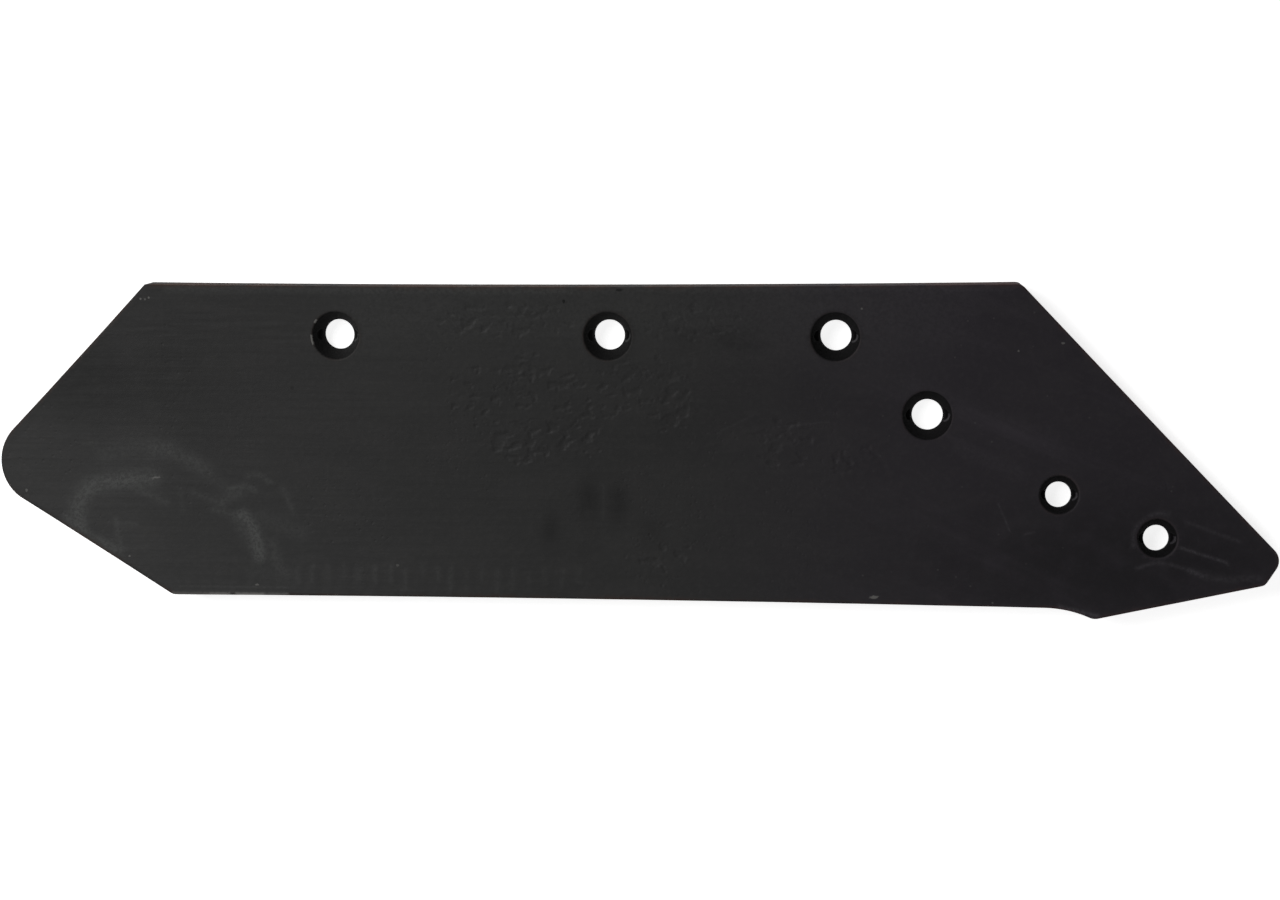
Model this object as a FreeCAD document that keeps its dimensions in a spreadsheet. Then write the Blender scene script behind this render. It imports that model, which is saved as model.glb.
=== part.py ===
import FreeCAD, Part
import math
import os
import Sketcher

# Plough share: one plate of hardened steel, rolled hollow across its width, cropped to a
# wing and a point, bevelled along the back of the cutting edge and punched for six
# countersunk plough bolts.
#
# Frame: +X runs from the wing to the point, +Y from the cutting edge to the top edge, and
# +Z out of the hollow face that the soil runs over. The share lies on its rounded back.
# In the sketches Y zero is the middle of the strip, the line that it lies on. The body's
# Placement then moves the share until its outline is centred on the origin.

# Driving sizes, in millimetres
SIZES = (
    # the rolled strip
    ("thickness", 9.0),
    ("face_radius", 600.0),
    ("blade_width", 140.6),
    ("overall_length", 573.2),
    ("stock_margin", 20.0),
    # the two long edges, each bowed in a little between its corners
    ("top_edge_hollow", 1.1),
    ("cutting_edge_hollow", 0.8),
    # the wing: corners set back from the wing's end, and the round nose between them
    ("wing_top_setback", 71.0),
    ("wing_heel_setback", 82.2),
    ("wing_nose_radius", 19.6),
    ("wing_nose_drop", 9.9),
    # the point: corners set back from the point's end, and the blunt tip between them
    ("point_top_setback", 110.8),
    ("tip_radius", 6.5),
    ("tip_rise", 21.8),
    ("tip_corner_setback", 5.8),
    ("tip_corner_rise", 11.1),
    ("tip_corner_radius", 2.0),
    # the hook under the point, where the outline dips below the cutting edge
    ("hook_radius", 50.0),
    ("hook_heel_setback", 77.7),
    ("hook_heel_depth", 4.45),
    ("hook_heel_radius", 6.0),
    # the bevel on the back, along the cutting edge and under the point
    ("bevel_width", 22.0),
    ("edge_thickness", 3.0),
    ("point_edge_thickness", 3.5),
    # the top row of bolt holes: the first hole from the wing's end, the third from the
    # point's end, and the second part of the way between them
    ("top_row_down", 23.0),
    ("first_hole_in", 158.8),
    ("second_hole_share", 0.551),
    ("third_hole_back", 190.8),
    # the other holes: back from the point's end, and down from the top edge or up from
    # the cutting edge
    ("fourth_hole_back", 150.6),
    ("fourth_hole_down", 57.3),
    ("fifth_hole_back", 93.5),
    ("fifth_hole_up", 49.2),
    ("sixth_hole_back", 51.4),
    ("sixth_hole_up", 30.8),
    # the seats for the bolt heads: a steep cone with a notch at each side for the nibs
    ("seat_angle", 60.0),
    ("large_hole", 13.5),
    ("large_seat", 22.0),
    ("large_nib_width", 5.5),
    ("large_nib_depth", 5.5),
    ("small_hole", 11.2),
    ("small_seat", 17.4),
    ("small_nib_width", 4.5),
    ("small_nib_depth", 4.5),
    ("nib_bite", 1.6),
    ("tool_clearance", 1.0),
)

SIZE = dict(SIZES)
HALF_WIDTH = "Sizes.blade_width / 2"
TOP_ROW = "(Sizes.blade_width / 2 - Sizes.top_row_down)"

doc = FreeCAD.newDocument("plough_share")


def make_sheet():
    """The spreadsheet of driving sizes: one name and one number to a row."""
    sheet = doc.addObject("Spreadsheet::Sheet", "Sizes")
    for row, (name, value) in enumerate(SIZES, 1):
        sheet.set(f"A{row}", name)
        sheet.set(f"B{row}", str(value))
        sheet.setAlias(f"B{row}", name)
    doc.recompute()
    return sheet


def along(distance):
    """X of a place given by its distance from the wing's end."""
    return f"({distance} - Sizes.overall_length / 2)"


def back_from_point(distance):
    """X of a place given by its distance back from the point's end."""
    return f"(Sizes.overall_length / 2 - {distance})"


def face_height(y):
    """Height of the hollow face at a distance y from the strip's middle line."""
    return f"(Sizes.thickness + Sizes.face_radius - sqrt(Sizes.face_radius^2 - ({y})^2))"


def back_height(y):
    """Height of the rounded back at a distance y from the strip's middle line."""
    outer = "(Sizes.face_radius + Sizes.thickness)"
    return f"({outer} - sqrt({outer}^2 - ({y})^2))"


def lean(y):
    """Angle between the face and the flat, at a distance y from the middle line."""
    return f"asin(({y}) / Sizes.face_radius)"


def number(expression):
    """The present value of an expression in the sizes, as a plain number."""
    result = body.evalExpression(expression)
    return float(getattr(result, "Value", result))


def vector(point):
    """A point of a sketch, from a pair of expressions."""
    return FreeCAD.Vector(number(point[0]), number(point[1]), 0)


def origin_plane(role):
    return next(item for item in body.Origin.OriginFeatures if item.Role == role)


def new_sketch(name, role, base=("0", "0", "0"), turn_axis=(1, 0, 0), turn="0 deg"):
    """A sketch on one of the body's own planes, moved and turned by expressions."""
    sketch = body.newObject("Sketcher::SketchObject", name)
    sketch.AttachmentSupport = [(origin_plane(role), "")]
    sketch.MapMode = "FlatFace"
    if base == ("0", "0", "0"):
        return sketch
    place = FreeCAD.Vector(*(number(item) for item in base))
    rotation = FreeCAD.Rotation(FreeCAD.Vector(*turn_axis), number(turn))
    sketch.AttachmentOffset = FreeCAD.Placement(place, rotation)
    for axis, item in zip("xyz", base):
        sketch.setExpression(f".AttachmentOffset.Base.{axis}", item)
    sketch.setExpression(".AttachmentOffset.Rotation.Angle", turn)
    return sketch


def tangent_sketch(name, y, clearance="0"):
    """A sketch on the plane that touches the face along the line y, raised by a clearance."""
    base = ("0", f"{y} - {clearance} * sin({lean(y)})",
            f"{face_height(y)} + {clearance} * cos({lean(y)})")
    return new_sketch(name, "XY_Plane", base, (1, 0, 0), lean(y))


def hold(sketch, kind, *ends, size):
    """A constraint whose value is an expression in the sizes."""
    index = sketch.addConstraint(Sketcher.Constraint(kind, *ends, number(size)))
    sketch.setExpression(f"Constraints[{index}]", size)


def hold_point(sketch, item, end, point):
    """Ties an end of an item to a point that is a pair of expressions."""
    hold(sketch, "DistanceX", -1, 1, item, end, size=point[0])
    hold(sketch, "DistanceY", -1, 1, item, end, size=point[1])


def join(sketch, *pairs):
    """Makes ends meet: each pair is (item, end, item, end)."""
    for pair in pairs:
        sketch.addConstraint(Sketcher.Constraint("Coincident", *pair))


def line(sketch, start, end):
    return sketch.addGeometry(Part.LineSegment(start, end), False)


def mark(sketch, point):
    """A construction point held at a place, for lines that have to pass through it."""
    item = sketch.addGeometry(Part.Point(vector(point)), True)
    hold_point(sketch, item, 1, point)
    return item


def arc(sketch, centre, radius, start, end):
    """An arc about a centre, counter-clockwise from the point start to the point end."""
    circle = Part.Circle(centre, FreeCAD.Vector(0, 0, 1), radius)
    angles = [math.atan2(item.y - centre.y, item.x - centre.x) for item in (start, end)]
    return sketch.addGeometry(Part.ArcOfCircle(circle, *angles), False)


def loop(sketch, points):
    """A closed loop of lines through points that are pairs of expressions, all held."""
    places = [vector(item) for item in points]
    items = [line(sketch, a, b) for a, b in zip(places, places[1:] + places[:1])]
    for item, after, point in zip(items, items[1:] + items[:1], points):
        join(sketch, (item, 2, after, 1))
        hold_point(sketch, item, 1, point)


def box_around(x, y):
    """Corners of a rectangle centred on the sketch's origin."""
    return ((f"-({x})", f"-({y})"), (x, f"-({y})"), (x, y), (f"-({x})", y))


def pocket(name, sketch, length=None):
    """Cuts a sketch out of the body: right through both ways, or to a stated depth."""
    feature = body.newObject("PartDesign::Pocket", name)
    feature.Profile = sketch
    if length is None:
        feature.Type = "ThroughAll"
        feature.SideType = "Symmetric"
    else:
        feature.Length = number(length)
        feature.setExpression("Length", length)
    return settle(feature)


def settle(feature):
    """Recomputes, and stops if a cut has taken nothing away."""
    before = feature.BaseFeature.Shape.Volume if feature.BaseFeature else 0
    doc.recompute()
    if not feature.isValid() or abs(feature.Shape.Volume - before) < 1e-3:
        raise RuntimeError(f"{feature.Label} changes nothing")
    return feature


def touch_point(corner, centre, radius, side):
    """Where a line from a corner touches a circle; side is 1 or -1."""
    way = corner - centre
    turn = side * math.acos(radius / way.Length)
    heading = math.atan2(way.y, way.x) + turn
    return centre + FreeCAD.Vector(math.cos(heading), math.sin(heading), 0) * radius


def roll_strip():
    """The stock: a strip with a hollow face and a rounded back, with some to spare all round."""
    sketch = new_sketch("strip_section", "YZ_Plane")
    centre = ("0", "Sizes.thickness + Sizes.face_radius")
    reach = "Sizes.blade_width / 2 + Sizes.stock_margin"
    outer = "Sizes.face_radius + Sizes.thickness"
    outer_reach = f"({reach}) * ({outer}) / Sizes.face_radius"
    face = [vector((side.format(reach), face_height(reach))) for side in ("-({})", "{}")]
    back = [vector((side.format(outer_reach), back_height(outer_reach)))
            for side in ("-({})", "{}")]
    middle = vector(centre)
    hollow = arc(sketch, middle, SIZE["face_radius"], face[0], face[1])
    right = line(sketch, face[1], back[1])
    round_back = arc(sketch, middle, number(outer), back[0], back[1])
    left = line(sketch, back[0], face[0])
    join(sketch, (hollow, 2, right, 1), (right, 2, round_back, 2), (round_back, 1, left, 1),
         (left, 2, hollow, 1), (hollow, 3, round_back, 3))
    hold_point(sketch, hollow, 3, centre)
    hold(sketch, "Radius", hollow, size="Sizes.face_radius")
    hold(sketch, "Radius", round_back, size=outer)
    hold(sketch, "DistanceX", -1, 1, hollow, 2, size=reach)
    hold(sketch, "DistanceX", -1, 1, hollow, 1, size=f"-({reach})")
    hold(sketch, "DistanceX", -1, 1, round_back, 2, size=outer_reach)
    hold(sketch, "DistanceX", -1, 1, round_back, 1, size=f"-({outer_reach})")
    strip = body.newObject("PartDesign::Pad", "rolled_strip")
    strip.Profile = sketch
    strip.SideType = "Symmetric"
    strip.setExpression("Length", "Sizes.overall_length + 2 * Sizes.stock_margin")
    return settle(strip)


# Corners of the outline, seen from above
WING_TOP = (along("Sizes.wing_top_setback"), HALF_WIDTH)
WING_HEEL = (along("Sizes.wing_heel_setback"), f"-{HALF_WIDTH}")
NOSE_CENTRE = (along("Sizes.wing_nose_radius"), "-Sizes.wing_nose_drop")
POINT_TOP = (back_from_point("Sizes.point_top_setback"), HALF_WIDTH)
TIP_CENTRE = (back_from_point("Sizes.tip_radius"), f"(Sizes.tip_rise - {HALF_WIDTH})")
TIP_CORNER = (back_from_point("Sizes.tip_corner_setback"),
              f"(Sizes.tip_corner_rise - {HALF_WIDTH})")
HOOK_HEEL = (back_from_point("Sizes.hook_heel_setback"),
             f"-({HALF_WIDTH} + Sizes.hook_heel_depth)")
HEEL_CENTRE = (HOOK_HEEL[0], f"{HOOK_HEEL[1]} + Sizes.hook_heel_radius")
HOOK_REACH = "(Sizes.hook_radius + Sizes.hook_heel_radius)"
HOOK_START = (f"{HOOK_HEEL[0]} - sqrt(2 * {HOOK_REACH} * Sizes.hook_heel_depth"
              " - Sizes.hook_heel_depth^2)", f"-{HALF_WIDTH}")
HOOK_CENTRE = (HOOK_START[0], f"-({HALF_WIDTH} + Sizes.hook_radius)")


def bow_radius(chord, hollow):
    """Radius of an edge that bows in by a stated hollow over its chord."""
    return f"((({chord}) / 2)^2 + {hollow}^2) / (2 * {hollow})"


def crop_outline():
    """Shears off all that lies outside the wing, the cutting edge, the hook and the point."""
    sketch = new_sketch("outline", "XY_Plane")
    loop(sketch, box_around("Sizes.overall_length / 2 + 2 * Sizes.stock_margin",
                            f"{HALF_WIDTH} + 3 * Sizes.stock_margin"))
    lid = f"{HALF_WIDTH} + 2 * Sizes.stock_margin"

    # places where the straight cuts touch the round nose and the round tip
    wing_top, wing_heel, nose = vector(WING_TOP), vector(WING_HEEL), vector(NOSE_CENTRE)
    point_top, tip_corner, tip = vector(POINT_TOP), vector(TIP_CORNER), vector(TIP_CENTRE)
    nose_top = touch_point(wing_top, nose, SIZE["wing_nose_radius"], 1)
    nose_heel = touch_point(wing_heel, nose, SIZE["wing_nose_radius"], -1)
    tip_top = touch_point(point_top, tip, SIZE["tip_radius"], -1)
    tip_low = touch_point(tip_corner, tip, SIZE["tip_radius"], 1)

    def carried_up(corner, touch):
        """The cut through a corner carried on past it, up to the lid of the loop."""
        share = (number(lid) - touch.y) / (corner.y - touch.y)
        return touch + (corner - touch) * share

    lid_left = carried_up(wing_top, nose_top)
    lid_right = carried_up(point_top, tip_top)
    hook_start, hook_centre, heel_centre = vector(HOOK_START), vector(HOOK_CENTRE), vector(HEEL_CENTRE)
    hook_share = SIZE["hook_radius"] / (SIZE["hook_radius"] + SIZE["hook_heel_radius"])
    hook_end = hook_centre + (heel_centre - hook_centre) * hook_share
    heel_end = touch_point(tip_corner, heel_centre, SIZE["hook_heel_radius"], -1)
    bow = bow_radius(f"{HOOK_START[0]} - {WING_HEEL[0]}", "Sizes.cutting_edge_hollow")
    bow_centre = FreeCAD.Vector((wing_heel.x + hook_start.x) / 2,
                                wing_heel.y + SIZE["cutting_edge_hollow"] - number(bow), 0)

    wing_cut = line(sketch, lid_left, nose_top)
    wing_nose = arc(sketch, nose, SIZE["wing_nose_radius"], nose_top, nose_heel)
    heel_cut = line(sketch, nose_heel, wing_heel)
    cutting_edge = arc(sketch, bow_centre, number(bow), hook_start, wing_heel)
    hook = arc(sketch, hook_centre, SIZE["hook_radius"], hook_end, hook_start)
    hook_heel = arc(sketch, heel_centre, SIZE["hook_heel_radius"], hook_end, heel_end)
    point_edge = line(sketch, heel_end, tip_corner)
    tip_cut = line(sketch, tip_corner, tip_low)
    tip_round = arc(sketch, tip, SIZE["tip_radius"], tip_low, tip_top)
    point_cut = line(sketch, tip_top, lid_right)
    top_lid = line(sketch, lid_right, lid_left)

    for item, centre, radius in ((wing_nose, NOSE_CENTRE, "Sizes.wing_nose_radius"),
                                 (hook_heel, HEEL_CENTRE, "Sizes.hook_heel_radius"),
                                 (tip_round, TIP_CENTRE, "Sizes.tip_radius")):
        hold_point(sketch, item, 3, centre)
        hold(sketch, "Radius", item, size=radius)
    for pair in ((wing_cut, 2, wing_nose, 1), (wing_nose, 2, heel_cut, 1),
                 (hook, 1, hook_heel, 1), (hook_heel, 2, point_edge, 1),
                 (tip_cut, 2, tip_round, 1), (tip_round, 2, point_cut, 1)):
        sketch.addConstraint(Sketcher.Constraint("Tangent", *pair))
    join(sketch, (heel_cut, 2, cutting_edge, 2), (cutting_edge, 1, hook, 2),
         (point_edge, 2, tip_cut, 1), (point_cut, 2, top_lid, 1), (top_lid, 2, wing_cut, 1))
    hold_point(sketch, heel_cut, 2, WING_HEEL)
    hold_point(sketch, cutting_edge, 1, HOOK_START)
    hold_point(sketch, tip_cut, 1, TIP_CORNER)
    hold(sketch, "Radius", cutting_edge, size=bow)
    hold(sketch, "Radius", hook, size="Sizes.hook_radius")
    for point, cut in ((WING_TOP, wing_cut), (POINT_TOP, point_cut)):
        corner = mark(sketch, point)
        sketch.addConstraint(Sketcher.Constraint("PointOnObject", corner, 1, cut))
    hold(sketch, "DistanceY", -1, 1, wing_cut, 1, size=lid)
    hold(sketch, "DistanceY", -1, 1, point_cut, 2, size=lid)
    return pocket("cropped_outline", sketch)


def crop_top_edge():
    """Shears the top edge square to the face there, bowed in a little between its corners."""
    sketch = tangent_sketch("top_edge", HALF_WIDTH)
    left, right = WING_TOP[0], POINT_TOP[0]
    run_out = "Sizes.stock_margin"
    bow = bow_radius(f"{right} - {left}", "Sizes.top_edge_hollow")
    centre = (f"({left} + {right}) / 2", f"{bow} - Sizes.top_edge_hollow")
    middle, radius = vector(centre), number(bow)
    ends = []
    for x in (f"{left} - {run_out}", f"{right} + {run_out}"):
        drop = math.sqrt(radius ** 2 - (number(x) - middle.x) ** 2)
        ends.append(FreeCAD.Vector(number(x), middle.y - drop, 0))
    lid = "3 * Sizes.stock_margin"
    edge = arc(sketch, middle, radius, ends[0], ends[1])
    lids = [FreeCAD.Vector(item.x, number(lid), 0) for item in ends]
    right_side = line(sketch, ends[1], lids[1])
    top = line(sketch, lids[1], lids[0])
    left_side = line(sketch, lids[0], ends[0])
    join(sketch, (edge, 2, right_side, 1), (right_side, 2, top, 1), (top, 2, left_side, 1),
         (left_side, 2, edge, 1))
    hold_point(sketch, edge, 3, centre)
    hold(sketch, "Radius", edge, size=bow)
    hold_point(sketch, top, 2, (f"{left} - {run_out}", lid))
    hold_point(sketch, top, 1, (f"{right} + {run_out}", lid))
    hold(sketch, "DistanceX", -1, 1, edge, 1, size=f"{left} - {run_out}")
    hold(sketch, "DistanceX", -1, 1, edge, 2, size=f"{right} + {run_out}")
    return pocket("cropped_top_edge", sketch)


def cut_bevel(name, sketch, edge, start):
    """Thins the back to an edge: cuts away what is under the line from start to edge."""
    run_out = "Sizes.stock_margin"
    outside = f"{edge[0]} - 2 * {run_out}"
    inside = f"{start[0]} + {run_out}"
    edge_place, start_place = vector(edge), vector(start)
    slope = (edge_place.y - start_place.y) / (edge_place.x - start_place.x)

    def on_bevel(x):
        return FreeCAD.Vector(x, start_place.y + slope * (x - start_place.x), 0)

    high, low = on_bevel(number(outside)), on_bevel(number(inside))
    corner = FreeCAD.Vector(high.x, low.y, 0)
    slant = line(sketch, high, low)
    floor = line(sketch, low, corner)
    wall = line(sketch, corner, high)
    join(sketch, (slant, 2, floor, 1), (floor, 2, wall, 1), (wall, 2, slant, 1))
    sketch.addConstraint(Sketcher.Constraint("Horizontal", floor))
    sketch.addConstraint(Sketcher.Constraint("Vertical", wall))
    for place in (edge, start):
        sketch.addConstraint(Sketcher.Constraint("PointOnObject", mark(sketch, place), 1, slant))
    hold(sketch, "DistanceX", -1, 1, slant, 1, size=outside)
    hold(sketch, "DistanceX", -1, 1, slant, 2, size=inside)
    return pocket(name, sketch)


def bevel_cutting_edge():
    """The bevel behind the long cutting edge."""
    y_edge = f"(-{HALF_WIDTH})"
    y_start = f"(Sizes.bevel_width - {HALF_WIDTH})"
    edge = (y_edge, f"{face_height(y_edge)} - Sizes.edge_thickness")
    start = (y_start, back_height(y_start))
    sketch = new_sketch("cutting_bevel_section", "YZ_Plane")
    return cut_bevel("cutting_bevel", sketch, edge, start)


def bevel_point():
    """The bevel behind the lower edge of the point, square to that edge."""
    rise = f"({TIP_CORNER[1]} - {HOOK_HEEL[1]})"
    run = f"({TIP_CORNER[0]} - {HOOK_HEEL[0]})"
    slant = f"atan({rise} / {run})"
    x_middle = f"({TIP_CORNER[0]} + {HOOK_HEEL[0]}) / 2"
    y_middle = f"({TIP_CORNER[1]} + {HOOK_HEEL[1]}) / 2"
    y_start = f"({y_middle} + Sizes.bevel_width * cos({slant}))"
    edge = ("0", f"{face_height(y_middle)} - Sizes.point_edge_thickness")
    start = ("Sizes.bevel_width", back_height(y_start))
    # the sketch's own X, Y and normal start as the share's Y, Z and X
    place = (y_middle, "0", x_middle)
    sketch = new_sketch("point_bevel_section", "YZ_Plane", place, (0, 1, 0), slant)
    return cut_bevel("point_bevel", sketch, edge, start)


def countersink(name, y, places, size):
    """Countersunk holes square to the face at the line y, with a notch each side for the nibs."""
    clearance = "Sizes.tool_clearance"
    sketch = tangent_sketch(f"{name}_centres", y, clearance)
    for place in places:
        circle = Part.Circle(vector(place), FreeCAD.Vector(0, 0, 1), SIZE[f"{size}_hole"] / 2)
        item = sketch.addGeometry(circle, False)
        hold_point(sketch, item, 3, place)
        hold(sketch, "Radius", item, size=f"Sizes.{size}_hole / 2")
    doc.recompute()
    holes = body.newObject("PartDesign::Hole", f"{name}_holes")
    holes.Profile = sketch
    holes.DepthType = "ThroughAll"
    holes.DrillPoint = "Flat"
    holes.HoleCutType = "Countersink"
    holes.setExpression("Diameter", f"Sizes.{size}_hole")
    holes.setExpression("HoleCutCountersinkAngle", "Sizes.seat_angle * 1 deg")
    holes.setExpression("HoleCutDiameter",
                        f"Sizes.{size}_seat + 2 * {clearance} * tan(Sizes.seat_angle / 2 * 1 deg)")
    settle(holes)

    notches = tangent_sketch(f"{name}_nib_slots", y, clearance)
    half = f"Sizes.{size}_nib_width / 2"
    # the slot's ends reach a little past the cone's wall, measured at the slot's floor
    depth = f"Sizes.{size}_nib_depth"
    wall = f"(Sizes.{size}_seat / 2 - {depth} * tan(Sizes.seat_angle / 2 * 1 deg))"
    reach = f"({wall} + Sizes.nib_bite - {half})"
    for x, v in places:
        left, right = (f"{x} - {reach}", v), (f"{x} + {reach}", v)
        a, b = vector(left), vector(right)
        rise = FreeCAD.Vector(0, number(half), 0)
        right_end = arc(notches, b, number(half), b - rise, b + rise)
        left_end = arc(notches, a, number(half), a + rise, a - rise)
        low = line(notches, a - rise, b - rise)
        high = line(notches, b + rise, a + rise)
        for pair in ((low, 2, right_end, 1), (right_end, 2, high, 1),
                     (high, 2, left_end, 1), (left_end, 2, low, 1)):
            notches.addConstraint(Sketcher.Constraint("Tangent", *pair))
        hold_point(notches, right_end, 3, right)
        hold_point(notches, left_end, 3, left)
        hold(notches, "Radius", right_end, size=half)
    return pocket(f"{name}_nib_notches", notches, f"{clearance} + {depth}")


def punch_holes():
    """Four large holes, three of them in a row, and two small ones in the point."""
    first = along("Sizes.first_hole_in")
    third = back_from_point("Sizes.third_hole_back")
    second = f"({first} + Sizes.second_hole_share * ({third} - {first}))"
    countersink("top_row", TOP_ROW, [(x, "0") for x in (first, second, third)], "large")
    fourth_y = f"({HALF_WIDTH} - Sizes.fourth_hole_down)"
    countersink("middle", fourth_y, [(back_from_point("Sizes.fourth_hole_back"), "0")], "large")
    # the two small holes share one direction, square to the face midway between them
    heights = [f"(Sizes.{order}_hole_up - {HALF_WIDTH})" for order in ("fifth", "sixth")]
    between = f"(({heights[0]} + {heights[1]}) / 2)"
    pair = [(back_from_point(f"Sizes.{order}_hole_back"),
             f"Sizes.face_radius * sin({lean(height)} - {lean(between)})")
            for order, height in zip(("fifth", "sixth"), heights)]
    countersink("point", between, pair, "small")


def upright_edge(shape, x, y):
    """Name of the edge that runs through the plate at a corner of the outline."""
    spans = []
    for index, edge in enumerate(shape.Edges, 1):
        ends = [vertex.Point for vertex in edge.Vertexes]
        if len(ends) == 2 and abs(ends[0].z - ends[1].z) > 1:
            away = max(math.hypot(end.x - x, end.y - y) for end in ends)
            spans.append((away, f"Edge{index}"))
    return min(spans)[1]


def round_tip_corner():
    """Rounds the corner under the tip that the shears leave sharp."""
    corner = vector(TIP_CORNER)
    base = body.Tip
    feature = body.newObject("PartDesign::Fillet", "rounded_tip_corner")
    feature.Base = (base, [upright_edge(base.Shape, corner.x, corner.y)])
    feature.setExpression("Radius", "Sizes.tip_corner_radius")
    settle(feature)


def centre_body():
    """Moves the share across until the middle of its outline is at the origin."""
    top_reach = "(Sizes.blade_width / 2 * (1 + Sizes.thickness / Sizes.face_radius))"
    low_reach = f"({HALF_WIDTH} + Sizes.hook_heel_depth)"
    body.setExpression(".Placement.Base.y", f"({low_reach} - {top_reach}) / 2")


sizes = make_sheet()
body = doc.addObject("PartDesign::Body", "share_blade")
body.Label = "share_blade"
doc.recompute()
roll_strip()
crop_outline()
crop_top_edge()
bevel_cutting_edge()
bevel_point()
punch_holes()
round_tip_corner()
centre_body()
doc.recompute()

failed = [item.Label for item in doc.Objects if {"Invalid", "Error"} & set(item.State)]
if failed:
    raise RuntimeError(f"these did not compute: {', '.join(failed)}")
if body.Shape.isNull() or not body.Shape.isValid() or len(body.Shape.Solids) != 1:
    raise RuntimeError("the share is not one valid solid")

os.makedirs("parts", exist_ok=True)
body.Shape.exportStep(f"parts/{body.Label}.step")
print(f"{body.Label}: {body.Shape.Volume / 1000:.1f} cm3, box {body.Shape.BoundBox}")
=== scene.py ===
# A plough share lying on its back on a white ground, seen from above.
#
# The share is one steel plate, so the scene has one piece. It has the CAD solid's sizes, and
# what the solid leaves out: eased and slightly uneven sheared edges, softened rims on the
# seats, scale pits, rolling ripples, and the marks and wear of its satin black paint. Its colour
# also carries painted shade in the seats, holes and toward the lower right, and painted
# highlights by the notches, on beads of paint and along the cutting edge's rim.
#
# Sizes are in millimetres in the strip's own frame, where Y zero is the line that the
# share lies on. They become metres in the row's frame when the mesh is made.
import math
import random

import bmesh
import bpy
import numpy as np
from mathutils import Matrix, Vector, geometry, kdtree, noise


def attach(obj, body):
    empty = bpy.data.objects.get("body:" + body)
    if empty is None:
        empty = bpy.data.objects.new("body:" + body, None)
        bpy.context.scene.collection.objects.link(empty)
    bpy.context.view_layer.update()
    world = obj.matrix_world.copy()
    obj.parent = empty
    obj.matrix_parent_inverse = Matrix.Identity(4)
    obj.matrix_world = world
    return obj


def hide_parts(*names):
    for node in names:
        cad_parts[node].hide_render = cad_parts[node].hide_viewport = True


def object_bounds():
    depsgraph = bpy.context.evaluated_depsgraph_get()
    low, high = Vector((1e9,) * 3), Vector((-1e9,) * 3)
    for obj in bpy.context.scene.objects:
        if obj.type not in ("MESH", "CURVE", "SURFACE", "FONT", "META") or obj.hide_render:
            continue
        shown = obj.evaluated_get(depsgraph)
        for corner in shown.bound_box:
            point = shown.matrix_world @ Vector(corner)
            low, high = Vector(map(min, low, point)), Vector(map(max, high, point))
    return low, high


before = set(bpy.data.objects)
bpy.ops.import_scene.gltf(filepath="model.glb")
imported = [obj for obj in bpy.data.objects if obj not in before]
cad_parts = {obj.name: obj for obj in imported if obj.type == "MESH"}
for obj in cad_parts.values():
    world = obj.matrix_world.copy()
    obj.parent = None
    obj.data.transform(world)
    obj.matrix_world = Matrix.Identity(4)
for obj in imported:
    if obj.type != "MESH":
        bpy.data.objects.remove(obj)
cad_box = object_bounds()

# The rolled strip: its length is the frame's, and the rest is as in the CAD
HALF_LENGTH = round(1000 * cad_box[1][0], 1)
HALF_WIDTH = 70.3
THICKNESS = 9.0
FACE_RADIUS = 600.0
BACK_RADIUS = FACE_RADIUS + THICKNESS
STRIP_TO_ROW_Y = 1.6978

# Where cropping left this plate a little fuller than the CAD's even outline
HEEL_DROP = 0.5
NOSE_DROP = 0.4
NOSE_GROWTH = 0.8

# The outline: corners set back from the two ends, and rises over the cutting edge
WING_TOP_SETBACK = 71.0
WING_HEEL_SETBACK = 82.2
POINT_TOP_SETBACK = 110.8
TIP_CORNER_SETBACK = 5.8
TIP_CORNER_RISE = 11.1
TIP_RISE = 21.8
HOOK_HEEL_SETBACK = 77.7
WING_TOP = np.array([-HALF_LENGTH + WING_TOP_SETBACK, HALF_WIDTH])
WING_HEEL = np.array([-HALF_LENGTH + WING_HEEL_SETBACK, -HALF_WIDTH - HEEL_DROP])
NOSE_RADIUS = 19.6 + NOSE_GROWTH
NOSE_CENTRE = np.array([-HALF_LENGTH + NOSE_RADIUS, -9.9 - NOSE_DROP])
POINT_TOP = np.array([HALF_LENGTH - POINT_TOP_SETBACK, HALF_WIDTH])
TIP_RADIUS = 6.5
TIP_CENTRE = np.array([HALF_LENGTH - TIP_RADIUS, TIP_RISE - HALF_WIDTH])
TIP_CORNER = np.array([HALF_LENGTH - TIP_CORNER_SETBACK, TIP_CORNER_RISE - HALF_WIDTH])
HOOK_RADIUS = 50.0
HOOK_DEPTH = 4.45
HEEL_RADIUS = 6.0
HEEL_CENTRE = np.array([HALF_LENGTH - HOOK_HEEL_SETBACK, HEEL_RADIUS - HALF_WIDTH - HOOK_DEPTH])
TOP_EDGE_HOLLOW = 1.1
CUTTING_EDGE_HOLLOW = 0.8
# How far the eased corners reach, where the photograph shows them rounder than the rest
EASED_CORNERS = ((POINT_TOP, 5.0), (WING_HEEL, 2.5), (TIP_CORNER, 3.0))
# The top edge's lean fades out within this distance of the corners
LEAN_FADE = 12

# The bevels on the back
BEVEL_WIDTH = 22.0
EDGE_THICKNESS = 3.0
POINT_EDGE_THICKNESS = 3.5
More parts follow.
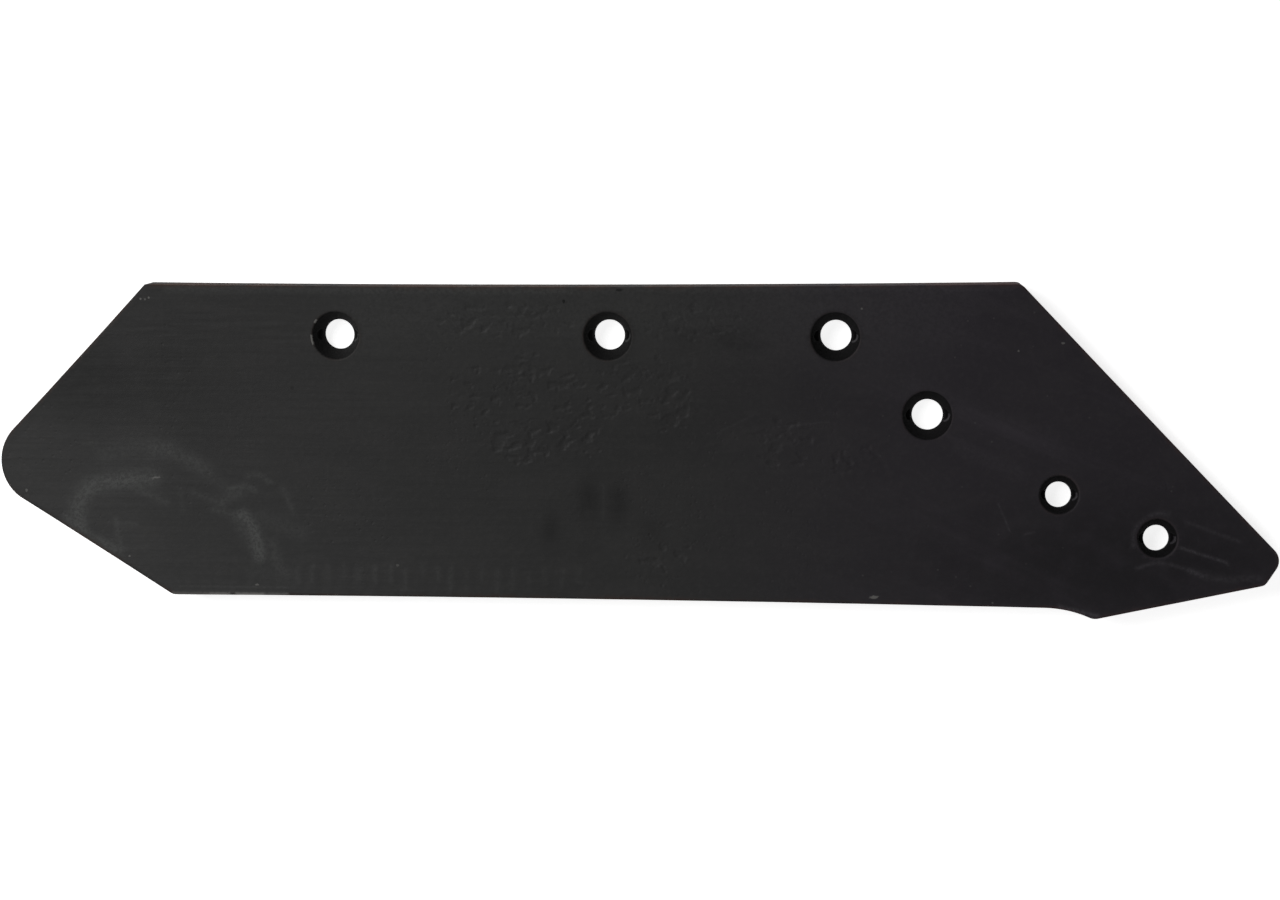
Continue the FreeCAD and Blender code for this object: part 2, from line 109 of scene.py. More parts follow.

# The bolt holes: place on the face, the line that the axis is square to, and the size.
# seat is the radius of the countersink's rim, and a notch at each side takes the bolt's nib.
# Highlights painted on beads of paint at the first hole's rim are listed with the first hole: the
# middle and half-width of each, in degrees.
# dark is how far the seat's painted shade darkens it, where that is less than in full.
LARGE = {"hole": 6.75, "seat": 11.0, "nib_half": 2.75, "nib_depth": 5.5, "nib_reach": 9.42}
SMALL = {"hole": 5.6, "seat": 8.7, "nib_half": 2.25, "nib_depth": 4.5, "nib_reach": 7.7}
SEAT_HALF_ANGLE = math.radians(30)
POINT_LINE = -30.3
HOLES = (
    {"x": -127.8, "y": 47.3, "line": 47.3, "dark": 0.82, "runs": ((145, 4), (190, 12)), **LARGE},
    {"x": -4.6, "y": 47.3, "line": 47.3, "dark": 0.88, **LARGE},
    {"x": 95.8, "y": 47.3, "line": 47.3, **LARGE},
    {"x": 136.0, "y": 13.0, "line": 13.0, **LARGE},
    {"x": 193.1, "y": -21.1, "line": POINT_LINE, **SMALL},
    {"x": 235.2, "y": -39.5, "line": POINT_LINE, **SMALL},
)

# The face lies this much under the CAD's, which leaves room for its relief
FACE_DROP = 0.12
# Rounds of the face's edge and the back's edge, of the seats' rims and of the nib notches
EASE = 0.55
BACK_EASE = 0.4
RIM_BLEND = 0.55
NOTCH_BLEND = 0.14
# How far the sheared wall wanders in and out along its run, and how deep it is torn
WANDER = 0.04
TEAR = 0.03
# Rows of points down the wall: the turn of each row on the two rounds, and the shares between
FACE_EASE_TURNS = (0, 25, 50, 72, 90)
WALL_SHARES = (0.2, 0.42, 0.64, 0.86)
BACK_EASE_TURNS = (90, 60, 30, 0)
# How many of those rows, from the face on, carry rubbed dust and worn chips, with the painted
# highlight along the cutting edge's rim
RUBBED_ROWS = 4
CHIPPED_ROWS = 3

# Spacing of points: of the outline as it is drawn, then of the mesh along the edges, on the
# face, in the pitted patches, on the back and along the creases of the bevels
OUTLINE_STEP = 0.25
EDGE_STEP = 1.25
FACE_STEP = 1.55
FINE_STEP = 0.62
BACK_STEP = 3.2
CREASE_STEP = 1.6
# Height of a row of even triangles, and how far points are shaken out of line, as shares of a step
ROW_HEIGHT = 0.866
SHAKE = 0.12
# Points this close count as one where a region is filled with triangles
MERGE_STEP = 1e-5
# Points round a hole, the spacing of points in its seat, and the seat patch's margin
RING_COUNT = 112
SEAT_STEP = 0.42
SEAT_MARGIN = 0.75

# Heights of the relief on the face: flakes, ripples that run along the strip, close ripples
# in patches, slow waves, the paint's skin, and the press marks
FLAKE_DEPTH = 0.2
RIPPLE_HEIGHT = 0.055
CLOSE_RIPPLE_HEIGHT = 0.05
WAVE_HEIGHT = 0.05
SKIN_HEIGHT = 0.015
MARK_DEPTH = 0.05
# The relief as a whole lies this much lower
RELIEF_DROP = 0.03
# The back's low bumps
BACK_RELIEF = 0.05
# Where the relief fades out: from the seats, from the rim, and on the back from the rim
SEAT_FADE = (0.8, 3.0)
RIM_FADE = (0.6, 3.5)
BACK_FADE = (0.5, 3)
# How far in from the rim the face's edge shows wear
RIM_WEAR = (0.3, 1.6)

# Patches where the rolled surface has flaked: centre, half-sizes and how thickly
FLAKE_PATCHES = (
    ((-63, 22), (14, 15), 0.66),
    ((-41, 28), (13, 14), 0.84),
    ((-22, 22), (12, 12), 0.6),
    ((-45, 0), (16, 11), 0.82),
    ((-20, 4), (15, 12), 0.82),
    ((1, 23), (12, 14), 0.8),
    ((25, 16), (15, 11), 0.76),
    ((21, 32), (15, 8), 0.78),
    ((-48, 55), (36, 9), 0.76),
    ((32, 54), (26, 8), 0.74),
    ((72, 0), (15, 12), 0.74),
    ((106, -6), (14, 8), 0.7),
    ((18, -50), (15, 14), 0.5),
)
# Patches of close ripples along the strip: centre, half-sizes and how strong
RIPPLE_PATCHES = (
    ((-200, 49), (19, 7), 1.0),
    ((-152, 50), (12, 6), 1.0),
    ((-48, 54), (32, 8), 1.0),
    ((34, 54), (24, 8), 1.0),
    ((76, 6), (24, 9), 1.0),
)
# Where the mesh is fine enough to carry them: centre and half-sizes
FINE_PATCHES = (
    ((-22, 16), (58, 34)),
    ((84, 0), (34, 14)),
    ((-48, 54), (34, 9)),
    ((34, 54), (26, 9)),
    ((-200, 49), (22, 9)),
    ((-152, 50), (13, 7)),
    ((18, -50), (16, 14)),
)

# Rubbed dust on the wing and by the point, and a painted highlight along the cutting edge's rim: a
# curve, its half-width and how light it is
RUB_MARKS = (
    # the broad arc near the nose, with a second branch and its foot by the edge
    (((-249.5, -38), (-249.5, -30), (-243.5, -22), (-228.5, -18.9), (-215, -17.8)), 4.3, 0.76),
    (((-244, -24), (-236, -20), (-222, -18.5)), 2.4, 0.42),
    (((-221, -23.5), (-208, -29)), 1.7, 0.36),
    (((-250, -33), (-247, -41)), 1.8, 0.3),
    (((-256, -36), (-244, -44), (-232, -51)), 1.5, 0.62),
    # the high, soft arch over it
    (((-237, -7), (-222, -4), (-208, -4.5)), 5.0, 0.24),
    (((-214, -4), (-204, -5.5), (-195, -10), (-190, -14)), 3.7, 0.33),
    (((-196, -9), (-186, -17), (-179, -24)), 2.6, 0.15),
    (((-207, -4.5), (-196, -12.5)), 2.2, 0.16),
    (((-247, -2.5), (-241, -2)), 1.2, 0.24),
    # marks between the arch and the bright streak
    (((-196, -24), (-181, -30)), 1.2, 0.3),
    (((-202, -22), (-200, -33)), 1.1, 0.18),
    (((-179, -22.5), (-172, -21), (-166, -23)), 1.1, 0.55),
    (((-181, -28), (-173, -24)), 2.4, 0.38),
    (((-186, -32), (-171, -35)), 1.3, 0.42),
    # the bright streak and the haze round it
    (((-172, -34), (-167, -41), (-165, -47), (-164, -53)), 2.8, 1.0),
    (((-167, -41), (-164.5, -52)), 1.6, 0.8),
    (((-176, -36), (-168, -49)), 2.4, 0.32),
    (((-170, -16.5), (-164, -16), (-159.5, -19)), 1.2, 0.38),
    (((-154, -21.5), (-152, -25), (-148.5, -33)), 1.2, 0.32),
    (((-163, -35), (-145, -42)), 4.0, 0.2),
    (((-158.5, -47), (-156.5, -53)), 2.6, 0.34),
    (((-156, -56), (-152, -60)), 2.8, 0.28),
    (((-168, -60), (-152, -62)), 4.5, 0.14),
    # the small mark inside the arc
    (((-232, -37), (-229.5, -50)), 1.3, 0.44),
    (((-239, -47), (-229, -51)), 2.2, 0.4),
    (((-230, -38.5), (-222, -39)), 1.0, 0.28),
    # a painted highlight along the rim of the cutting edge by the wing, a faint line above it, and
    # the lighter band under the top edge
    (((-203, -69.95), (-176, -69.75), (-152, -69.55)), 0.85, 0.6),
    (((-201, -66.9), (-150, -66.7)), 0.5, 0.25),
    (((-205, 68.2), (-25, 67.4)), 1.4, 0.32),
    (((-25, 67.4), (172, 68.4)), 1.2, 0.18),
    # a thin haze over the upper middle
    (((-110, 58), (0, 58), (140, 58)), 20.0, 0.15),
    # scratches and swept dust round the last hole and on the point
    (((245, -43.4), (265, -49.6)), 0.6, 0.6),
    (((227, -52.3), (236, -50), (247, -52.4), (255, -56)), 0.8, 0.35),
    (((225, -43), (226, -35), (234, -29), (240, -29)), 1.0, 0.34),
    (((247, -32), (270, -40.5)), 0.8, 0.24),
    (((249, -53.5), (262, -56.5), (278, -56)), 1.4, 0.28),
    (((150, 0), (176, -11)), 3.5, 0.1),
    (((128, 26), (190, 2)), 5.0, 0.06),
    (((167, -25), (169.5, -31), (172, -37)), 0.45, 0.28),
    (((178.5, -38.6), (182.5, -37.4)), 0.5, 0.26),
    (((194, -69.6), (203, -71.6), (210, -73.4)), 0.8, 0.6),
    # raised lines left by the rolls
    (((45.6, 5.6), (60.4, 12.8)), 0.5, 0.13),
    (((70.6, 7.7), (93, 9.9)), 0.45, 0.15),
    # the light line between the dark smudges
    (((-6.7, -19), (-6.9, -34)), 0.6, 0.12),
)
# Dark smudges and broad darkenings, one of them painted shade: centre, half-sizes and strength
SMUDGES = (
    ((-30.5, -39.5), (4.5, 7.5), 0.85),
    ((-13.5, -26), (5.0, 9.0), 1.0),
    ((-0.5, -27), (4.5, 9.0), 0.9),
    ((14.5, -39), (7.0, 6.0), 0.5),
    ((50, 46.5), (12, 5), 0.7),
    ((31, 46), (8, 6), 0.4),
    # broad darkenings on the wing's end
    ((-242, 26), (26, 18), 1.0),
    ((-208, 26), (30, 20), 0.62),
    # painted shade, darkening the face toward the lower right by the point
    ((218, -50), (85, 26), 0.85),
)
# Chips and dust that stand out, and painted highlights: centre, half-sizes and how light, or below
# zero how dark.
# The four long ones are a painted highlight along the rim of the cutting edge.
SPECKS = (
    ((-217.7, 63.7), (0.4, 0.4), 0.7),
    ((-215.6, 63.5), (0.35, 0.35), 0.5),
    ((-213.8, 64.3), (0.4, 0.4), 0.6),
    ((-212.4, -17.6), (1.6, 0.3), 0.6),
    ((-274.4, -24.1), (0.5, 0.7), 0.5),
    ((-225.2, -53.6), (0.4, 0.4), 0.5),
    ((-165.0, -65.7), (0.9, 0.3), 0.5),
    ((-196.0, -70.1), (9.0, 0.45), 0.4),
    ((-183.0, -70.0), (5.0, 0.6), 0.85),
    ((-168.0, -69.85), (6.5, 0.6), 0.95),
    ((-156.0, -69.75), (5.5, 0.45), 0.45),
    ((-100.1, -56.0), (0.7, 0.5), 0.3),
    ((113.5, -66.8), (1.5, 0.7), 0.7),
    ((164.9, -68.4), (0.35, 0.35), 0.3),
    ((174.9, 41.4), (0.35, 0.4), 0.45),
    ((193.8, 44.8), (0.8, 0.4), 0.5),
    ((107.2, 59.6), (0.4, 0.35), 0.45),
    ((-148.5, 23.5), (0.9, 0.8), -0.5),
    ((-24.0, 62.7), (0.6, 0.9), -0.9),
    ((0.6, 67.7), (1.2, 0.6), -0.8),
)
# Faint dots of dust on the point's side: how many are tried, and where
DUST_DOTS = 34
DUST_SPAN = (105.0, 245.0)

# Press marks, short upright furrows along the cutting edge: spacing, first and last, upper ends
MARK_PITCH = 7.1
MARK_SPAN = (-206.0, 150.0)
MARK_TOP = -56.0


def smoothstep(low, high, value):
    t = np.clip((value - low) / (high - low), 0.0, 1.0)
    return t * t * (3 - 2 * t)


def smooth_min(a, b, blend):
    """The lower of two heights, rounded where they meet."""
    near = np.maximum(blend - np.abs(a - b), 0.0) / blend
    return np.minimum(a, b) - near * near * blend / 4


def heading(angle):
    """The direction, or directions, at an angle from the X axis."""
    return np.stack([np.cos(angle), np.sin(angle)], axis=-1)


def travel(rows):
    """The distance travelled along a row of points, at each of them."""
    steps = np.hypot(*np.diff(rows[:, :2], axis=0).T)
    return np.concatenate([[0], np.cumsum(steps)])


def resampled(rows, travelled, stations):
    """A row of points taken anew, at given distances along it."""
    columns = [np.interp(stations, travelled, column) for column in rows.T]
    return np.stack(columns, axis=1)


# The plate's two surfaces

def hollow(radius, y):
    """How far a surface rolled to a radius rises above its middle line."""
    return radius - np.sqrt(radius ** 2 - y ** 2)


def full_face(y):
    return THICKNESS + hollow(FACE_RADIUS, y)


def face_height(y):
    return full_face(y) - FACE_DROP


def rolled_back(y):
    return hollow(BACK_RADIUS, y)


HEEL_POINT = HEEL_CENTRE - (0.0, HEEL_RADIUS)
POINT_SLANT = math.atan2(*(TIP_CORNER - HEEL_POINT)[::-1])
POINT_MIDDLE = (TIP_CORNER + HEEL_POINT) / 2


def bevel_height(edge_y, slant, thickness, inward):
    """A flat bevel, from the thickness left at its edge up to where it leaves the back."""
    edge_z = full_face(edge_y) - thickness
    start_z = rolled_back(edge_y + BEVEL_WIDTH * math.cos(slant))
    return edge_z + (start_z - edge_z) * inward / BEVEL_WIDTH


def back_height(x, y):
    """The rolled back, or a bevel where that has cut higher."""
    long_bevel = bevel_height(-HALF_WIDTH, 0.0, EDGE_THICKNESS, y + HALF_WIDTH)
    inward = (y - POINT_MIDDLE[1]) * math.cos(POINT_SLANT)
    inward = inward - (x - POINT_MIDDLE[0]) * math.sin(POINT_SLANT)
    point_bevel = bevel_height(POINT_MIDDLE[1], POINT_SLANT, POINT_EDGE_THICKNESS, inward)
    return np.maximum(np.maximum(rolled_back(y), long_bevel), point_bevel)


# The outline, counter-clockwise from above, starting at the wing's top corner

def touch_point(corner, centre, radius, side):
    """Where a line from a corner touches a circle; side is 1 or -1."""
    way = corner - centre
    angle = math.atan2(way[1], way[0]) + side * math.acos(radius / np.hypot(*way))
    return centre + radius * heading(angle)


def straight(start, end):
    count = max(2, int(np.hypot(*(end - start)) / OUTLINE_STEP))
    share = np.arange(count)[:, None] / count
    return start + (end - start) * share


def bowed(start, end, depth):
    """A long edge from start to end that bows in, to the left of its run."""
    run = straight(start, end)
    way = (end - start) / np.hypot(*(end - start))
    share = np.arange(len(run))[:, None] / len(run)
    return run + np.array([-way[1], way[0]]) * depth * 4 * share * (1 - share)


def round_part(centre, radius, start, end, clockwise=False):
    """The arc about a centre from the point start to the point end."""
    a = math.atan2(*(start - centre)[::-1])
    b = math.atan2(*(end - centre)[::-1])
    turn = (a - b if clockwise else b - a) % (2 * math.pi)
    count = max(2, int(turn * radius / OUTLINE_STEP))
    angle = a + (-turn if clockwise else turn) * np.arange(count) / count
    return centre + radius * heading(angle)


def smoothed(rows, width):
    """A closed row of points with each one averaged with its neighbours, twice."""
    kernel = np.convolve(np.ones(width) / width, np.ones(width) / width)
    pad = width - 1
    padded = np.concatenate([rows[-pad:], rows, rows[:pad]])
    columns = [np.convolve(column, kernel, "valid") for column in padded.T]
    return np.stack(columns, axis=1)


def outline_parts():
    """The straight, bowed and round stretches of the outline, in order."""
    nose_top = touch_point(WING_TOP, NOSE_CENTRE, NOSE_RADIUS, 1)
    nose_heel = touch_point(WING_HEEL, NOSE_CENTRE, NOSE_RADIUS, -1)
    reach = HOOK_RADIUS + HEEL_RADIUS
    hook_x = HEEL_CENTRE[0] - math.sqrt(2 * reach * HOOK_DEPTH - HOOK_DEPTH ** 2)
    hook_start = np.array([hook_x, -HALF_WIDTH])
    hook_centre = hook_start - (0.0, HOOK_RADIUS)
    hook_end = hook_centre + (HEEL_CENTRE - hook_centre) * HOOK_RADIUS / reach
    heel_end = touch_point(TIP_CORNER, HEEL_CENTRE, HEEL_RADIUS, -1)
    tip_low = touch_point(TIP_CORNER, TIP_CENTRE, TIP_RADIUS, 1)
    tip_top = touch_point(POINT_TOP, TIP_CENTRE, TIP_RADIUS, -1)
    return (
        straight(WING_TOP, nose_top),
        round_part(NOSE_CENTRE, NOSE_RADIUS, nose_top, nose_heel),
        straight(nose_heel, WING_HEEL),
        bowed(WING_HEEL, hook_start, CUTTING_EDGE_HOLLOW),
        round_part(hook_centre, HOOK_RADIUS, hook_start, hook_end, clockwise=True),
        round_part(HEEL_CENTRE, HEEL_RADIUS, hook_end, heel_end),
        straight(heel_end, TIP_CORNER),
        straight(TIP_CORNER, tip_low),
        round_part(TIP_CENTRE, TIP_RADIUS, tip_low, tip_top),
        straight(tip_top, POINT_TOP),
        bowed(POINT_TOP, WING_TOP, TOP_EDGE_HOLLOW),
    )


def overhangs(parts):
    """How far the back's rim lies outside the face's at each point of the outline.

    The top edge is sheared square to the hollow face, so the back stands out under it.
    """
    points = np.concatenate(parts)
    overhang = HALF_WIDTH * THICKNESS / FACE_RADIUS
    on_top = np.arange(len(points)) >= len(points) - len(parts[-1])
    near_top = np.where(on_top, 1.0, smoothstep(HALF_WIDTH - LEAN_FADE, HALF_WIDTH, points[:, 1]))
    sideways = 0
    leans = ((WING_TOP, parts[1][0], LEAN_FADE), (POINT_TOP, parts[-2][0], -LEAN_FADE))
    for corner, foot, fade in leans:
        run, rise = corner - foot
        sideways += run / rise * smoothstep(corner[0] + fade, corner[0], points[:, 0])
    return np.stack([overhang * near_top * sideways, overhang * near_top], axis=1)


def eased(rows):
    """The corners eased a little, and those that the photograph shows rounder a little more."""
    sharp = smoothed(rows, 2)
    rounder = smoothed(rows, 9)
    for corner, reach in EASED_CORNERS:
        near = np.hypot(*(rows[:, :2] - corner).T) / reach
        weight = (1 - smoothstep(0.7, 1.3, near))[:, None]
        sharp += (rounder - sharp) * weight
    return sharp


def outline():
    """Points along the face's rim, and how far the back's rim lies outside each of them."""
    parts = outline_parts()
    rows = eased(np.concatenate([np.concatenate(parts), overhangs(parts)], axis=1))
    closed = np.concatenate([rows, rows[:1]])
    travelled = travel(closed)
    count = int(travelled[-1] / EDGE_STEP)
    wanted = np.arange(count) * travelled[-1] / count
    for corner in (WING_TOP, WING_HEEL, TIP_CORNER, POINT_TOP):
        place = travelled[np.argmin(np.hypot(*(rows[:, :2] - corner).T))]
        wanted[np.argmin(np.abs(wanted - place))] = place
    return resampled(closed, travelled, wanted)


RIM = outline()


def outward(loop):
    """The direction out of the plate at each point of the outline."""
    along = np.roll(loop, -1, axis=0) - np.roll(loop, 1, axis=0)
    along /= np.hypot(*along.T)[:, None]
    return np.stack([along[:, 1], -along[:, 0]], axis=1)


# Meshing of flat regions

def triangulate(loops, inner):
    """Triangles between closed loops, the first of them outermost, through inner points."""
    points = np.concatenate(loops + [inner])
    edges = []
    owner = np.full(len(points), -1)
    first = 0
    for index, loop in enumerate(loops):
        count = len(loop)
        edges += [(first + i, first + (i + 1) % count) for i in range(count)]
        owner[first:first + count] = index
        first += count
    corners = [Vector(point) for point in points]
    _, _, faces, sources, _, _ = geometry.delaunay_2d_cdt(corners, edges, [], 0, MERGE_STEP)
    source = np.array([item[0] for item in sources])
    triangles = source[np.array(faces)]
    owners = owner[triangles]
    same = (owners[:, 0] == owners[:, 1]) & (owners[:, 1] == owners[:, 2])
    drop = same & (owners[:, 0] > 0)
    for index in np.nonzero(same & (owners[:, 0] == 0))[0]:
        drop[index] = not inside(points[triangles[index]].mean(axis=0), loops[0])
    return points, triangles[~drop]


def crossings(loop, y):
    """Where a level line crosses a loop."""
    ends = np.roll(loop, -1, axis=0)
    spans = (loop[:, 1] > y) != (ends[:, 1] > y)
    a, b = loop[spans], ends[spans]
    return a[:, 0] + (y - a[:, 1]) * (b[:, 0] - a[:, 0]) / (b[:, 1] - a[:, 1])


def inside(point, loop):
    return int((crossings(loop, point[1]) > point[0]).sum()) % 2 == 1


def grid_inside(loop, step):
    """Rows of points inside a loop, a little out of line so that no rows show."""
    rows = []
    low, high = loop[:, 1].min(), loop[:, 1].max()
    for row in range(int((high - low) / (step * ROW_HEIGHT)) + 1):
        y = low + row * step * ROW_HEIGHT
        indent = (row % 2) / 2
        ends = np.sort(crossings(loop, y))
        for left, right in zip(ends[::2], ends[1::2]):
            first = math.ceil(left / step - indent)
            x = (np.arange(first, right / step - indent) + indent) * step
            rows.append(np.stack([x, np.full(len(x), y)], axis=1))
    points = np.concatenate(rows)
    return points + np.random.default_rng(5).uniform(-SHAKE, SHAKE, points.shape) * step


def distances(points, others):
    """How far each point lies from the nearest of the others."""
    tree = kdtree.KDTree(len(others))
    for index, (x, y) in enumerate(others):
        tree.insert((x, y, 0), index)
    tree.balance()
    return np.array([tree.find((x, y, 0))[2] for x, y in points])


def clear_of(points, others, distance):
    return points[distances(points, others) > distance]


def from_hole(hole, x, y):
    return np.hypot(x - hole["x"], y - hole["y"])


def from_centre(x, y, centre, half_sizes):
    """The squared distance from a patch's middle, where 1 is the patch's edge."""
    return ((x - centre[0]) / half_sizes[0]) ** 2 + ((y - centre[1]) / half_sizes[1]) ** 2


def in_patches(points):
    """Which points lie where the mesh is fine."""
    return np.any([from_centre(*points.T, *patch) < 1 for patch in FINE_PATCHES], axis=0)


def filled(loops, grid, gap, size, margin):
    """Triangles between the loops, through the points of a grid that are clear of the holes."""
    grid = clear_of(grid, np.concatenate(loops), gap)
    for hole in HOLES:
        grid = grid[from_hole(hole, *grid.T) > hole[size] + margin]
    return triangulate(loops, grid)


# Relief and wear of the face

def noise_at(x, y, size_x, size_y, seed):
    """Smooth noise between about -1 and 1, with its own grain along each axis."""
    points = zip((x / size_x).tolist(), (y / size_y).tolist())
    return np.array([noise.noise((u, v, seed)) for u, v in points])


def in_zones(x, y, patches, inner, outer):
    """How far inside the patches each point is, from 0 to 1, by each patch's strength."""
    cover = np.zeros(len(x))
    for centre, half_sizes, strength in patches:
        away = from_centre(x, y, centre, half_sizes)
        cover = np.maximum(cover, strength * (1 - smoothstep(inner, outer, away)))
    return cover


def flakes(x, y):
    """Shallow ragged flakes with a slightly raised lip, inside their patches."""
    cover = in_zones(x, y, FLAKE_PATCHES, 0.4, 1.4)
    near = cover > 0.02
    u, v = x[near], y[near]
    cover[near] *= 1.0 + 0.5 * noise_at(u, v, 11.0, 9.0, seed=5.3)
    # the field is pushed about by noise of its own, so that the flakes' outlines are ragged
    push_u = 1.9 * noise_at(u, v, 3.8, 3.8, seed=31.5)
    push_v = 1.6 * noise_at(u, v, 3.8, 3.8, seed=47.2)
    field = noise_at(u + push_u, v + push_v, 5.2, 3.4, seed=13.1)
    field += 0.3 * noise_at(u, v, 2.0, 1.3, seed=61.0)
    crinkle = noise_at(u + push_u, v - push_v, 2.4, 1.0, seed=83.0)
    # where the field is over the level the surface has flaked, in two steps
    level = 0.58 - 0.58 * cover[near]
    lip = np.exp(-((field - level + 0.04) / 0.05) ** 2)
    floor = smoothstep(level, level + 0.09, field)
    deep = smoothstep(level + 0.22, level + 0.32, field)
    shape = 0.3 * lip - 0.65 * floor - 0.4 * deep + 0.35 * cover[near] * crinkle
    relief = np.zeros(len(x))
    relief[near] = FLAKE_DEPTH * shape
    return relief


def rolling_ripples(x, y):
    """Ripples along the strip, stronger toward the wing's top edge and close in patches."""
    upper_wing = (smoothstep(20, 44, y) * (1 - smoothstep(63, 68, y))
                  * (1 - smoothstep(-20, 40, x)) * smoothstep(-235, -200, x))
    ripples = RIPPLE_HEIGHT * noise_at(x, y, 24.0, 2.5, seed=3.1) * (0.2 + upper_wing)
    close = in_zones(x, y, RIPPLE_PATCHES, 0.3, 1.1)
    near = close > 0
    height = CLOSE_RIPPLE_HEIGHT * close[near]
    ripples[near] += height * noise_at(x[near], y[near], 7.0, 1.3, seed=6.6)
    return ripples


def press_furrows(x, y):
    """Short upright furrows in a row along the cutting edge, weaker toward the point."""
    phase = (x - MARK_SPAN[0]) / MARK_PITCH + 0.12 * noise_at(x, y, 9.0, 50.0, seed=2.2)
    furrow = np.exp(-((phase - np.round(phase)) / 0.16) ** 2)
    fade = 1 - 0.75 * smoothstep(-120, 0, x)
    zone = (smoothstep(MARK_TOP, MARK_TOP - 4, y)
            * smoothstep(MARK_SPAN[0], MARK_SPAN[0] + 5, x)
            * (1 - smoothstep(MARK_SPAN[1] - 20, MARK_SPAN[1], x)))
    return MARK_DEPTH * furrow * zone * fade


def face_relief(x, y):
    """Height of the painted face over the plain rolled one."""
    waves = WAVE_HEIGHT * noise_at(x, y, 70.0, 45.0, seed=9.4)
    skin = SKIN_HEIGHT * noise_at(x, y, 6.5, 5.0, seed=5.7)
    return rolling_ripples(x, y) + waves + skin - press_furrows(x, y) + flakes(x, y) - RELIEF_DROP


def press_marks():
    """A light, short upright stroke beside each press mark, weaker toward the point."""
    draw = random.Random(11)
    marks = []
    for number in range(8, 27):
        x = MARK_SPAN[0] + (number + 0.45) * MARK_PITCH + draw.uniform(-0.6, 0.6)
        top = MARK_TOP + draw.uniform(-2.5, 1.0)
        foot = top - draw.uniform(5, 9)
        light = draw.uniform(0.14, 0.30) * (1 if number < 19 else 0.6)
        knots = ((x, top), (x + draw.uniform(-0.5, 0.5), foot))
        marks.append((knots, draw.uniform(0.8, 1.4), light))
    return tuple(marks)


def curve_through(knots, pieces=6):
    """Points along a smooth curve through a few given ones."""
    knots = np.array(knots)
    ends = [2 * knots[0] - knots[1], *knots, 2 * knots[-1] - knots[-2]]
    points = []
    for a, b, c, d in zip(ends, ends[1:], ends[2:], ends[3:]):
        for i in range(pieces):
            t = i / pieces
            points.append(0.5 * (2 * b + (c - a) * t + (2 * a - 5 * b + 4 * c - d) * t ** 2
                                 + (3 * b - a - 3 * c + d) * t ** 3))
    return points + [ends[-2]]


def stroke_mask(x, y, strokes):
    """How light the strokes are at each point."""
    mask = np.zeros(len(x))
    for knots, half_width, strength in strokes:
        points = curve_through(knots)
        nearest = np.full(len(x), 1e9)
        for start, end in zip(points, points[1:]):
            run, rise = end - start
            u, v = x - start[0], y - start[1]
            share = np.clip((u * run + v * rise) / (run ** 2 + rise ** 2), 0, 1)
            nearest = np.minimum(nearest, np.hypot(u - share * run, v - share * rise))
        stroke = strength * np.exp(-(nearest / half_width) ** 2)
        mask = mask + stroke - mask * stroke
    return mask


def smudge_mask(x, y):
    """How dark the smudges and the broad darkenings, painted shade among them, are at each point.
    """
    mask = np.zeros(len(x))
    for centre, half_sizes, strength in SMUDGES:
        mask = np.maximum(mask, strength * np.exp(-from_centre(x, y, centre, half_sizes)))
    return mask


def dust_dots():
    """Faint dots of dust, clear of the rim and of the seats."""
    draw = random.Random(23)
    dots = []
    for _ in range(DUST_DOTS):
        place = (draw.uniform(*DUST_SPAN), draw.uniform(1 - HALF_WIDTH, HALF_WIDTH - 1))
        light = draw.uniform(0.05, 0.17)
        clear = all(from_hole(hole, *place) > hole["seat"] + 1.5 for hole in HOLES)
        if clear and inside(place, RIM[:, :2]):
            dots.append((place, (0.33, 0.3), light))
    return tuple(dots)


ALL_SPECKS = SPECKS + dust_dots()


def speck_mask(x, y):
    """How light or dark the specks and the painted highlights are at each point."""
    mask = np.zeros(len(x))
    for centre, half_sizes, light in ALL_SPECKS:
        mask[from_centre(x, y, centre, half_sizes) < 1.05 ** 2] = light
    return mask


def speck_points():
    """Extra points that draw each speck's edge in the mesh."""
    points = []
    for (cx, cy), (rx, ry), _ in ALL_SPECKS:
        points.append((cx, cy))
        for i in range(9):
            angle = i * 2 * math.pi / 9 + cx
            wobble = 0.85 + 0.14 * math.sin(3 * angle + cy)
            for rim in (0.0, 0.3):
                points.append((cx + (rx * wobble + rim) * math.cos(angle),
                               cy + (ry * wobble + rim) * math.sin(angle)))
    return np.array(points)


def narrow_mark_points():
    """Rows of points along each narrow mark of dust or of painted highlight, so that it keeps its
    edges.
    """
    points = []
    for knots, half_width, _ in RUB_MARKS:
        if half_width > 1.0:
            continue
        curve = np.array(curve_through(knots))
        travelled = travel(curve)
        middle = resampled(curve, travelled, np.arange(0, travelled[-1], 0.75))
        way = np.gradient(middle, axis=0)
        side = np.stack([-way[:, 1], way[:, 0]], axis=1) / np.hypot(*way.T)[:, None]
        for share in (-1.7, -0.85, 0.0, 0.85, 1.7):
            points.append(middle + side * share * max(half_width, 0.5))
    return np.concatenate(points)


# The whole mesh, gathered patch by patch

